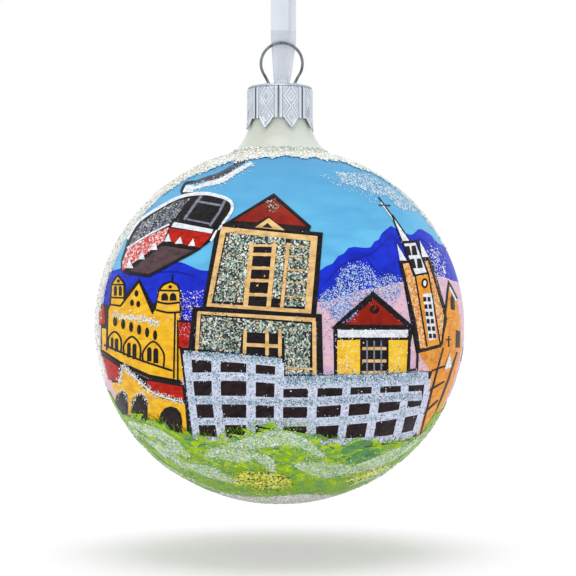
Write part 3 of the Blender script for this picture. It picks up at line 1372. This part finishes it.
bar_lilac = enamel("bar_lilac", BAR_LILAC, BAR_SHADE, 1200)
block = Picture("painted_block")
front_face = [(-22.2, -5.5), (0.6, -7.4), (0.6, -26), (-5, -26.5), (-19.6, -26)]
wing_face = [(0.4, -11.4), (18, -10.9), (34.3, -10.3), (30.6, -24.6), (20, -26), (6, -26.6), (0.4, -26)]
block.fill(window_brown, front_face, DETAIL_COAT)
block.fill(window_brown, wing_face, DETAIL_COAT)
BARS = (
    (2.0, ((-21.0, -6.4), (-20.4, -14), (-18.9, -25.8))),
    (2.0, ((-14.4, -7), (-14.2, -17), (-13, -25.6))),
    (2.1, ((-6.5, -7.6), (-6.5, -17), (-6.6, -25.8))),
    (2.0, ((0.0, -8.4), (-0.3, -17), (-0.3, -26))),
    (1.9, ((-21.6, -6.6), (-10, -7.4), (0.4, -8.4))),
    (1.9, ((-21, -11.6), (-10, -11.5), (0, -12.2))),
    (1.9, ((-20.4, -16.8), (-10, -16.8), (0, -17.2))),
    (1.6, ((-19.8, -21.6), (-10, -21.6), (0, -21.6))),
    (1.5, ((-19.2, -25.4), (-10, -26.2), (0, -26))),
    (2.8, ((0.2, -12.9), (18, -12.5), (33.4, -11.9))),
    (2.1, ((0, -17.3), (8, -17.2), (20, -16.4), (31.9, -15.8))),
    (1.9, ((0, -21.8), (11, -21.6), (22, -20.7), (31.6, -19))),
    (1.5, ((6, -26.4), (16, -26.1), (24, -25.6), (30.4, -24.3))),
    (2.1, ((7.5, -13), (7.2, -19), (7, -26))),
    (1.8, ((15.1, -13), (14.6, -19), (13.7, -26))),
    (1.9, ((21.7, -13), (21.2, -18.6), (20, -25.6))),
    (1.7, ((28.1, -12.6), (27.8, -18), (26.3, -24.8))),
    (1.3, ((33.3, -12), (32.6, -17), (30.4, -24.2))),
)
for number, (width, route) in enumerate(BARS):
    bar = curved(route)
    block.line(bar_lilac, width, bar, OUTLINE_COAT + number % 2 * 0.02)
    reach = path_length(bar)
    level_bar = abs(bar[-1].x - bar[0].x) > abs(bar[-1].y - bar[0].y)
    grains = 13 if level_bar else 6
    block.trail(BAR_TONES, bar, width * 0.5, round(reach * width * grains), OUTLINE_COAT + 0.03)
TEAL_TONES = [(64, 126, 134), (38, 56, 80), (128, 192, 192), (84, 106, 148), (206, 220, 228)]
for spread, count, size, route in (
    (1.5, 900, 0.13, [(1.4, -12.2), (18, -11.8), (33, -11.2)]),
    (0.8, 360, 0.12, [(0.4, -17.6), (20, -16.7), (31.6, -16)]),
    (0.8, 300, 0.12, [(-21.6, -6.2), (-10, -6.9), (0.2, -7.8)]),
    (0.7, 220, 0.12, [(-21, -17), (0, -17.4)]),
):
    block.trail(TEAL_TONES, route, spread, count, OUTLINE_COAT + 0.06, size)
block.lines(ink, 0.55, [
    [(-22.3, -5.2), (-10, -6.3), (0.6, -7.1)], [(-22.3, -5.2), (-19.7, -26)],
], OUTLINE_COAT)
block.finish()


# The church. An orange tower with a white spire, a belfry with black louvres and a small clock, and the
# end of the nave to its right with more orange walls below.
BRICK_ORANGE = (230, 156, 44)
BRICK_DEEP = (208, 126, 36)
BRICK_TONES = [(222, 146, 58), (232, 180, 104), (188, 104, 38), (228, 200, 150)]

brick_orange = enamel("brick_orange", BRICK_ORANGE, BRICK_DEEP, 450)
brick_glitter = glitter_paint("brick_glitter", BRICK_TONES)


def shifted(outline, x, z):
    return [(x + across, z + level) for across, level in outline]


church = Picture("painted_church")
church.trail(SILVER_TONES, [(34, 17.6), (35.6, 13.6), (36.2, 10)], 2, 330, HILL_COAT, 0.15)
church.line(ink, 0.3, [(22.2, 28.9), (25.8, 23.9)], DETAIL_COAT)
church.line(ink, 0.3, [(22.3, 27.1), (24.9, 27.0)], DETAIL_COAT)
church.line(snow_white, 0.3, [(22.7, 27.7), (25.6, 23.7)], DETAIL_COAT - 0.02)
church.fill(snow_white, [(25.2, 24.9), (27.4, 18.6), (29.3, 18.9)], DETAIL_COAT)
church.line(ink, 0.35, [(25.2, 24.9), (27.6, 18.6)], PANE_COAT)
church.line(ink, 0.35, [(25.3, 24.9), (29.4, 18.9)], PANE_COAT)
church.fill(ink, [(26.9, 14.6), (34, 15.4), (38.2, 0.8), (37, -6), (30.6, -6.2)], WALL_COAT)
church.fill(brick_glitter, [
    (27.6, 13.9), (33.4, 14.6), (37.3, 0.9), (36.2, -4.8), (31.2, -5.2),
], DETAIL_COAT)
church.fill(brick_orange, [(30.5, 11), (33.5, 11.2), (35.9, -4.2), (32.9, -4.8)], PANE_COAT - 0.01)
church.fill(ink, [(27.4, 19), (30.9, 19.2), (33.6, 11.6), (30, 11)], DETAIL_COAT + 0.01)
church.fill(snow_white, [(27.9, 18.4), (30.5, 18.6), (33, 12), (30.5, 11.5)], PANE_COAT)
LOUVRE = [(-0.5, -1.1), (0.7, -1), (0.2, 1.1), (-0.7, 1)]
for across, level in ((28.9, 16.8), (30.3, 16.9), (30, 13.9), (31.5, 14)):
    church.fill(ink, shifted(LOUVRE, across, level), OUTLINE_COAT)
for left, right, foot, peak_x, peak in ((27, 28.6, 14.6, 26.3, 18.6), (32, 33.6, 15.4, 31.4, 19.3)):
    church.fill(snow_white, [(left, foot), (right, foot), (peak_x, peak)], PANE_COAT + 0.02)
    church.line(ink, 0.25, [(right, foot), (peak_x, peak)], OUTLINE_COAT)
church.oval(ink, 32.6, 9.5, 1.5, 2.3, PANE_COAT + 0.02)
church.oval(snow_white, 32.6, 9.5, 0.7, 1.3, OUTLINE_COAT)
church.fill(snow_white, [(32.1, 7.1), (34.2, 7.3), (35.3, -3), (33.5, -3.5)], PANE_COAT + 0.01)
PANE = [(-0.3, -0.5), (0.4, -0.5), (0.3, 0.5), (-0.35, 0.5)]
for row in range(6):
    for column in range(2):
        across = 32.6 + column * 0.95 + row * 0.25
        church.fill(ink, shifted(PANE, across, 5.9 - row * 1.65), OUTLINE_COAT)
church.lines(ink, 0.75, [
    [(27.1, 14.6), (30.5, -0.1), (31.3, -5.9)], [(31.1, -5.9), (36.3, -4.5)],
], OUTLINE_COAT)
church.lines(ink, 0.35, [[(30.4, 11.6), (33.1, -4.8)], [(33.4, 11.9), (36.1, -4.2)]], OUTLINE_COAT)
church.line(ink, 0.35, [(33.3, 15.3), (37.5, 1.5), (36.3, -4.4)], OUTLINE_COAT)
wall = [
    (36.6, -4.4), (38.1, 9.6), (39.9, 5.6), (40.6, 1), (40.9, -5), (39.6, -11), (37.8, -16.4),
    (34.6, -22), (31.2, -25.4), (31.4, -19), (34, -10.4), (31.3, -6.2),
]
church.fill(brick_orange, wall, WALL_COAT + 0.02)
church.line(snow_white, 0.45, [(38.2, 8.6), (39.7, 5.6)], OUTLINE_COAT)
church.line(ink, 0.45, [(36.5, -4.2), (38, 9.8), (39.9, 6)], OUTLINE_COAT)
church.line(snow_white, 0.3, [(36.6, 13.4), (37.2, 11.6)], OUTLINE_COAT)
church.fill(ink, [(38.5, 3.6), (39.4, 3.4), (39.3, 6), (38.9, 7.6), (38.4, 6.2)], PANE_COAT)
church.fill(ink, [(39.5, -5), (40.5, -5), (40.6, -1.4), (39.7, -1)], PANE_COAT)
church.line(ink, 0.35, [(38, -2.4), (38, -4.8)], PANE_COAT)
church.line(ink, 0.35, [(37.4, -3.2), (38.6, -3.2)], PANE_COAT)
for route in (
    [(36.8, -5), (34.9, -12), (31.5, -25)], [(39.9, -6), (38, -12), (34.6, -21)],
    [(34.2, -10.2), (38.6, -8.6)], [(33, -15), (37, -12.6)], [(32.2, -20), (35.6, -16.8)],
):
    church.line(ink, 0.45, route, OUTLINE_COAT, 0.2)
church.fill(snow_white, [(37, -10), (38.6, -9.4), (38.3, -6)], TRIM_COAT)
for spread, count, route in (
    (0.8, 130, [(28.6, 12), (31.6, -4)]),
    (2.8, 260, [(32.4, -7.4), (36, -7)]),
    (1.0, 90, [(38.4, 2.6), (38.6, -2)]),
    (0.7, 110, [(34.6, 12), (37, 0)]),
):
    church.trail(BRICK_TONES, route, spread, count, DETAIL_COAT)
church.finish()


# The old city hall. A yellow wall with two domed turrets, a gable and rows of black arches, over red
# roofs and a lower arcade that runs towards the white block.
HALL_YELLOW = (238, 190, 42)
HALL_AMBER = (218, 160, 26)
CREAM_TONES = [(246, 236, 206), (226, 226, 214), (160, 200, 206), (250, 250, 244)]

hall_yellow = enamel("hall_yellow", HALL_YELLOW, HALL_AMBER, 420)
hall = Picture("painted_hall")


def arch(picture, left, right, foot, top, height, paint):
    """A round-headed opening."""
    middle = (left + right) / 2
    half = (right - left) / 2
    spring = top - half * 1.2
    head = [
        (middle + half * math.cos(a), spring + half * 1.2 * math.sin(a))
        for a in [math.pi * i / 6 for i in range(7)]
    ]
    picture.fill(paint, [(left, foot), (right, foot), *head], height)


hall.fill(ink, [
    (-40.2, 4.9), (-38.5, 4.6), (-38.1, 9.6), (-36.5, 11.6), (-34.9, 9.8), (-34.6, 7.2), (-31.7, 10.6),
    (-28.6, 4.8), (-27.8, 5.4), (-27.5, 8.2), (-26.2, 9.6), (-24.6, 10.1), (-23, 9.4), (-22.3, 7.8),
    (-21.9, 2.6), (-22.4, -13.4), (-29.4, -12), (-36, -9), (-40.4, -6.2),
], WALL_COAT)
hall.fill(hall_yellow, [
    (-38.6, 3.4), (-38, 4.6), (-37.7, 9.2), (-36.5, 10.9), (-35.3, 9.4), (-35.2, 5.6), (-31.7, 9.5),
    (-28.5, 2.9), (-27.9, 3.6), (-27.1, 7.8), (-26, 9), (-24.6, 9.6), (-23.3, 9), (-22.7, 7.6),
    (-22.6, 3.2), (-23.2, -12.2), (-29.4, -11), (-36, -8), (-40, -5.4), (-40.1, -0.6), (-38.8, -0.8),
], WALL_COAT + 0.03)
hall.lines(ink, 0.4, [
    [(-37.9, 9.2), (-35.1, 9.2)], [(-38.1, 6.3), (-35.2, 6.2)], [(-38.2, 4.7), (-35.9, 4.4), (-31.7, 9.9)],
    [(-31.7, 9.9), (-28.6, 2.6)], [(-27.4, 7.9), (-22.6, 7.8)], [(-24.3, 9.9), (-24.2, 11.4)],
    [(-23.6, 2.8), (-23.9, -12)], [(-38.8, 3.6), (-39, -5.6)],
], OUTLINE_COAT)
hall.lines(ink, 0.45, [
    curved([(-27.9, 5.4), (-25.4, 4.9), (-22.5, 5.2)]), curved([(-27.9, 3.5), (-25.2, 2.9), (-22.6, 3)]),
    curved([(-39.6, -4.4), (-32, -7.6), (-24.2, -10.2)]),
    curved([(-40.3, -5.6), (-36, -8.6), (-29.6, -11.4), (-22, -13)]),
], OUTLINE_COAT)
for left, right, foot, top in (
    (-37.4, -36.7, 6.7, 8.9), (-36.3, -35.6, 6.7, 8.9), (-26.7, -25.2, 5.6, 7.3), (-24.8, -23.3, 5.6, 7.3),
    (-38.1, -37.5, -5.4, -2.7), (-37.2, -36.4, -5.9, -2.9), (-34.4, -33.6, -7.2, -3.9),
    (-33.2, -32.3, -7.6, -4.1), (-29.9, -28.9, -8.1, -4.9), (-28.5, -27.4, -8.5, -5.1),
):
    arch(hall, left, right, foot, top, PANE_COAT, ink)
for left, right, foot, top in (
    (-38.6, -35.8, -5.6, -1.4), (-35.1, -31.5, -7.2, -2.5), (-30.8, -26.2, -8.8, -3.6),
):
    spring = top - (right - left) * 0.5
    frame_line = [(left, foot + 0.5), (left, spring), ((left + right) / 2, top)]
    frame_line += [(right, spring - 0.3), (right, foot - 0.6)]
    hall.line(ink, 0.4, curved(frame_line), OUTLINE_COAT)
for across, level in ((-36.4, 10.0), (-24.7, 8.7)):
    hall.oval(ink, across, level, 0.8, 0.8, PANE_COAT, 8)
for across, level in ((-32.3, 7.2), (-33.3, 5.1), (-31.9, 4.8)):
    hall.oval(ink, across, level, 0.9, 1.5, PANE_COAT, 10)
for i in range(6):
    hall.oval(ink, -37.1 + 1.8 * i, 0.9 - 0.62 * i, 0.95, 2.3, PANE_COAT, 10)
swash = curved([(-37.6, 2.6), (-34.8, 1.9), (-31, 1.6), (-27.6, 0.4)])
hall.trail(CREAM_TONES, swash, 0.9, 420, PANE_COAT, 0.15)
hall.fill(berry_red, [(-23, 0.8), (-20, 0.6), (-20.7, -5), (-22.9, -4.8)], WALL_COAT + 0.02)
hall.fill(hall_yellow, [(-22.9, -5.2), (-21, -5.4), (-21.1, -12.2), (-22.9, -12.2)], WALL_COAT + 0.02)
hall.line(ink, 0.4, [(-20.1, 0.8), (-23, 1), (-23, -12.6)], OUTLINE_COAT)
hall.fill(berry_red, [(-40.8, 3), (-39.6, 4.6), (-39.3, 0.6), (-40.7, 0)], WALL_COAT + 0.02)
hall.fill(ink, [
    (-40.4, -5.8), (-36, -9), (-29.6, -12), (-21.6, -13.4), (-19.6, -25), (-25, -24.4), (-35.2, -19.6),
], WALL_COAT - 0.02)
hall.fill(berry_red, [(-39.9, -6.8), (-36.2, -9.4), (-36, -12.6), (-38.6, -12.2)], WALL_COAT + 0.03)
hall.fill(berry_red, [
    (-29.8, -12.4), (-22, -13.8), (-21.6, -16.8), (-27, -15.8), (-30.2, -14.2),
], WALL_COAT + 0.03)
hall.fill(hall_yellow, [
    (-38, -12.8), (-36.2, -13), (-35.6, -9.6), (-34.6, -9.8), (-30.4, -14.4), (-26.6, -16.4),
    (-21.4, -17.6), (-20.8, -25.2), (-26, -23.6), (-35.4, -19.4),
], WALL_COAT + 0.02)
for left, right, foot, top in (
    (-37, -34.2, -20, -14.8), (-33.4, -29.8, -21.4, -15.4), (-27.2, -22, -24.4, -18.2),
):
    arch(hall, left, right, foot, top, PANE_COAT, ink)
    arch(hall, left + 0.5, right - 0.4, foot + 0.4, top - 0.9, OUTLINE_COAT - 0.01, window_brown)
edging = curved([(-36.2, -13.2), (-35.2, -9), (-34, -10.4), (-29.6, -14.4), (-26, -16.2), (-21.8, -17.2)])
hall.line(ink, 0.5, edging, PANE_COAT)
hall.line(snow_white, 0.35, edging, OUTLINE_COAT, 0.3)
hall.trail(CREAM_TONES, edging, 0.8, 420, OUTLINE_COAT, 0.15)
for left, right, top in ((-37.2, -34, -14.6), (-33.6, -29.6, -15.2)):
    hood = [(left, top - 3), ((left * 2 + right) / 3, top - 0.4)]
    hood += [((left + right * 2) / 3, top), (right, top - 3)]
    hall.trail(CREAM_TONES, curved(hood), 0.5, 110, OUTLINE_COAT, 0.14)
hall.finish()


# The grass. Lime, mid and dark green brushed in short strokes round the bottom, with silver-green
# glitter laid in waves over it and a yellow-black bush at the middle.
STROKE_COUNT = 760
BLADE_COUNT = 420
GRASS_LIME = (170, 204, 22)
GRASS_MID = (138, 178, 26)
GRASS_DARK = (72, 118, 70)
GRASS_SEA = (98, 152, 88)
LEAF_TONES = [
    (212, 226, 214), (170, 204, 150), (232, 238, 226), (128, 170, 104), (200, 220, 128), (168, 204, 208),
    (178, 208, 92),
]
BUSH_TONES = [
    (236, 238, 70), (40, 48, 18), (214, 222, 50), (246, 246, 140), (150, 172, 40), (224, 230, 60),
]

grass_lime = enamel("grass_lime", GRASS_LIME, GRASS_MID, 700, (1, 1, 1.5))
grass_mid = enamel("grass_mid", GRASS_MID, GRASS_SEA, 500)
grass_dark = enamel("grass_dark", GRASS_SEA, GRASS_DARK, 600)
leaf_glitter = glitter_paint("leaf_glitter", LEAF_TONES, 2600)
bush_glitter = glitter_paint("bush_glitter", BUSH_TONES, 2000)

GRASS_EDGE = [
    (-38, -15), (-35.1, -20), (-28.1, -21.8), (-22, -24.2), (-19.4, -25.2), (-13.4, -26.3), (-9, -24.6),
    (-0.3, -23.4), (6.6, -24.3), (10, -27), (18, -27.5), (25, -26.6), (31.2, -24.8), (34.6, -20),
    (36.4, -16),
]
BACK_GRASS = [(-34, -12), (-26, -8), (-16, -11), (-6, -7), (6, -10), (16, -6), (26, -10), (34, -12)]
grass_edge = profile_round(seen_from(0, GRASS_EDGE) + seen_from(180, BACK_GRASS))
grass = Picture("painted_grass")
GRASS_COAT = TRIM_COAT + 0.05


def grass_foot(turn):
    return -36.9 + 0.4 * math.sin(math.radians(turn * 5))


grass.belt(grass_mid, grass_foot, grass_edge, TRIM_COAT + 0.02)
for i in range(STROKE_COUNT):
    turn = grass.draw.uniform(0, 360)
    top = grass_edge(turn) - 1.0
    level = grass.draw.uniform(-35.8, top)
    grass.turn = math.radians(turn)
    reach = grass.draw.uniform(0.7, 2.4)
    lean = grass.draw.uniform(-1.1, 1.1)
    paint = grass.draw.choice([grass_lime, grass_lime, grass_lime, grass_lime, grass_dark, grass_mid])
    stroke = curved([(-reach, level - lean), (0, level + 0.3), (reach, level + lean)], 2)
    grass.line(paint, grass.draw.uniform(0.5, 1.2), stroke, GRASS_COAT, 0.9, 0.03)
grass.turn = 0
for i in range(BLADE_COUNT):
    across = grass.draw.uniform(-33, 31)
    turn, edge = seen_from(0, [(across, -23)])[0]
    foot = grass_edge(turn) - grass.draw.uniform(0.2, 2.2)
    lean = grass.draw.uniform(-0.9, 0.9)
    paint = grass.draw.choice([grass_lime, grass_lime, grass_mid, grass_dark])
    blade = [(across, foot), (across + lean, foot + grass.draw.uniform(0.5, 1.3))]
    grass.line(paint, 0.5, blade, GRASS_COAT + 0.02, 0.9, 0.03)
for foot, top in (
    ((13.6, -29), (19, -27.4)), ((15, -30.4), (22.6, -28)), ((14.4, -27.8), (21, -26.4)),
    ((17, -31), (23.4, -29.2)),
):
    middle = ((foot[0] + top[0]) / 2, (foot[1] + top[1]) / 2 + 0.5)
    grass.line(grass_dark, 1.6, curved([foot, middle, top]), GRASS_COAT + 0.03, 0.7)
WAVES = (
    (((-34.2, -21.8), (-29.5, -23.6), (-25, -26.4), (-20.2, -29.6)), 3.0),
    (((-29.6, -26), (-25, -29), (-20.6, -32.4)), 2.2),
    (((-17, -29.2), (-13, -28.4), (-9, -29.4), (-5, -29)), 3.4),
    (((-14, -28.6), (-7.4, -26.6), (0.2, -25.4), (5, -26.4), (9.8, -29.6)), 3.4),
    (((-6, -29), (-3, -30.6), (-1.1, -33)), 2.6),
    (((-21.8, -31.2), (-15.1, -33.2), (-10, -35.4)), 2.6),
    (((3.4, -31.4), (10, -32.6), (16.4, -32)), 3.6),
    (((12, -33), (20, -31.6), (26, -28.8), (31.3, -26.2)), 2.6),
)
BUSHES = (
    (((-10.4, -35.6), (-7, -34.2), (-3.4, -36.6)), 3.0),
    (((-7.6, -34.4), (-2, -35), (2.6, -35.2)), 3.6),
    (((15, -35), (19.6, -34), (24.4, -31.8)), 1.7),
    (((-33, -24.4), (-29.4, -29.4), (-25.2, -32.6)), 1.2),
)
for number, (route, width) in enumerate(WAVES):
    wave = curved(route)
    grass.line(leaf_glitter, width, wave, GRASS_COAT + 0.03 + number * 0.008, 0.75)
    count = round(path_length(wave) * width * 8)
    grass.trail(LEAF_TONES, wave, width * 0.85, count, GRASS_COAT + 0.1, 0.15)
for route, width in BUSHES:
    bush = curved(route)
    grass.line(bush_glitter, width, bush, GRASS_COAT + 0.05, 0.6)
    count = round(path_length(bush) * width * 8)
    grass.trail(BUSH_TONES, bush, width * 0.75, count, GRASS_COAT + 0.11, 0.18)
for i in range(9):
    turn = 70 + i * 27
    grass.turn = math.radians(turn)
    top = grass_edge(turn)
    for drop, side in ((7, -1), (15, 1)):
        crest_level = top - drop
        wave = [(-8 * side, crest_level - 2), (-2 * side, crest_level), (5 * side, crest_level - 2)]
        wave = curved([*wave, (9 * side, crest_level - 5)])
        grass.line(leaf_glitter, 2.6, wave, GRASS_COAT + 0.04, 0.75)
        grass.trail(LEAF_TONES, wave, 1.9, 230, GRASS_COAT + 0.1, 0.18)
grass.finish()


# The snow rim. White glitter sprinkled into clear glue round the foot of the neck, over the shoulder all
# round the scene and under the grass, as thick as frost.
FROST_TONES = [
    (231, 233, 227), (217, 222, 213), (243, 244, 241), (199, 205, 195), (226, 228, 214), (235, 236, 231),
]
FROST_COAT = 0.22
FROST_TOP = 37.7
NECK_FROST_FOOT = 37.0
NECK_FROST_TOP = 39.4
SHOULDER_GRAINS = 9000
UNDER_GRAINS = 3000
NECK_GRAINS = 2600
FRONT_FROST = [
    (-38.6, -12.5), (-40.1, 0), (-39.4, 6), (-37.6, 12.6), (-34.8, 19), (-30.8, 24.8), (-25.4, 30),
    (-17.6, 34.6), (-9.6, 37.2), (0, 38.4), (10, 37.7), (18.6, 35.3), (25.8, 31.2), (32, 25.2),
    (36.8, 17.8),
]
BACK_FROST = [
    (74, 21), (86, 27), (100, 30), (116, 28), (134, 31), (152, 29.5), (170, 31.5), (188, 30), (205, 31.5),
    (219, 27), (231, 19), (242, 9), (252, 0), (262, -8), (271, -13),
]

frost = glitter_paint("frost_glitter", FROST_TONES, 2300)
rim = Picture("snow_rim")
frost_edge = profile_round(seen_from(0, FRONT_FROST) + BACK_FROST)


def frost_foot(turn):
    """The uneven lower edge of the frost on the shoulder."""
    wave = 0.25 * math.sin(math.radians(turn * 17)) + 0.15 * math.sin(math.radians(turn * 31 + 40))
    return min(FROST_TOP - 0.1, frost_edge(turn) + wave)


def sprinkle_frost(foot, top, count, spill):
    """Frost grains between two edges, a few of them spilt past the lower one."""
    for i in range(count):
        turn = rim.draw.uniform(0, 360)
        low = slant(foot(turn)) - rim.draw.random() * spill
        level = math.sin(rim.draw.uniform(low, slant(top(turn)))) * BALL_HEIGHT / 2
        rim.flake(round_glass(turn, level, FROST_COAT + 0.05), 0.24, FROST_TONES, 0.6, 1.5)


rim.belt(frost, frost_foot, lambda turn: FROST_TOP, FROST_COAT)
sprinkle_frost(frost_foot, lambda turn: FROST_TOP, SHOULDER_GRAINS, 0.04)
rim.belt(frost, lambda turn: -39.6, lambda turn: -36.7 + 0.4 * math.sin(math.radians(turn * 7)), FROST_COAT)
sprinkle_frost(lambda turn: -39.5, lambda turn: -36.2, UNDER_GRAINS, 0.0)
for i in range(NECK_GRAINS):
    level = rim.draw.uniform(NECK_FROST_FOOT, NECK_FROST_TOP)
    turn = rim.draw.uniform(0, 2 * math.pi)
    rim.flake(around(neck_radius_at(level) + 0.06, turn, level), 0.26, FROST_TONES, 0.6, 1.5)
rim.finish()


# The back of the scene. A village street in the same hand: small outlined houses with red roofs, and
# pines with silver-green glitter along their boughs, between the hills and the grass.
HOUSE_TURNS = (92, 116, 141, 168, 193, 219, 244)
HOUSE_WALLS = (wall_yellow, tan, snow_white, brick_orange)

village = Picture("painted_village")
for number, turn in enumerate(HOUSE_TURNS):
    village.turn = math.radians(turn)
    foot = grass_edge(turn) - 1
    wall = HOUSE_WALLS[number % 4]
    half = 5.2 + (number % 3) * 0.9
    tall = 9 + (number * 5 % 4) * 1.8
    village.box(ink, -half - 0.5, half + 0.5, foot, foot + tall + 0.5, WALL_COAT)
    village.box(wall, -half, half, foot, foot + tall, WALL_COAT + 0.03)
    roof = [(-half - 1.4, foot + tall), (half + 1.4, foot + tall), (0, foot + tall + 6)]
    village.fill(roof_red if number % 2 else berry_red, roof, DETAIL_COAT)
    village.line(ink, 0.7, roof + roof[:1], OUTLINE_COAT)
    for row in range(2 if tall < 11 else 3):
        for column in (-0.62, 0, 0.62):
            level = foot + 3.2 + row * 3.4
            if row == 0 and column == 0:
                arch(village, -1.1, 1.1, foot, foot + 4.2, PANE_COAT, window_brown)
                continue
            across = column * half
            village.box(window_brown, across - 0.9, across + 0.9, level - 1, level + 1, PANE_COAT)
            village.line(snow_white, 0.3, [(across - 0.9, level), (across + 0.9, level)], OUTLINE_COAT)
            village.line(snow_white, 0.3, [(across, level - 1), (across, level + 1)], OUTLINE_COAT)
    village.trail(SILVER_TONES, roof[1:] + roof[:1], 0.9, 160, OUTLINE_COAT, 0.18)
    village.turn = math.radians(turn + 12)
    pine_foot = grass_edge(turn + 12) - 1
    for tier in range(3):
        spread = 3 - tier * 0.75
        level = pine_foot + 1.4 + tier * 2.7
        left, right = (-spread, level), (spread, level)
        village.fill(grass_dark, [left, right, (0, level + 4.4)], DETAIL_COAT + tier * 0.02)
        village.trail(LEAF_TONES, [left, (0, level + 4.2), right], 0.8, 90, PANE_COAT, 0.18)
    village.box(window_brown, -0.5, 0.5, pine_foot - 0.6, pine_foot + 1.5, DETAIL_COAT)
village.finish()


size = {
    "cad": [list(corner) for corner in cad_bounds],
    "visual": [list(corner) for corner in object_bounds()],
}
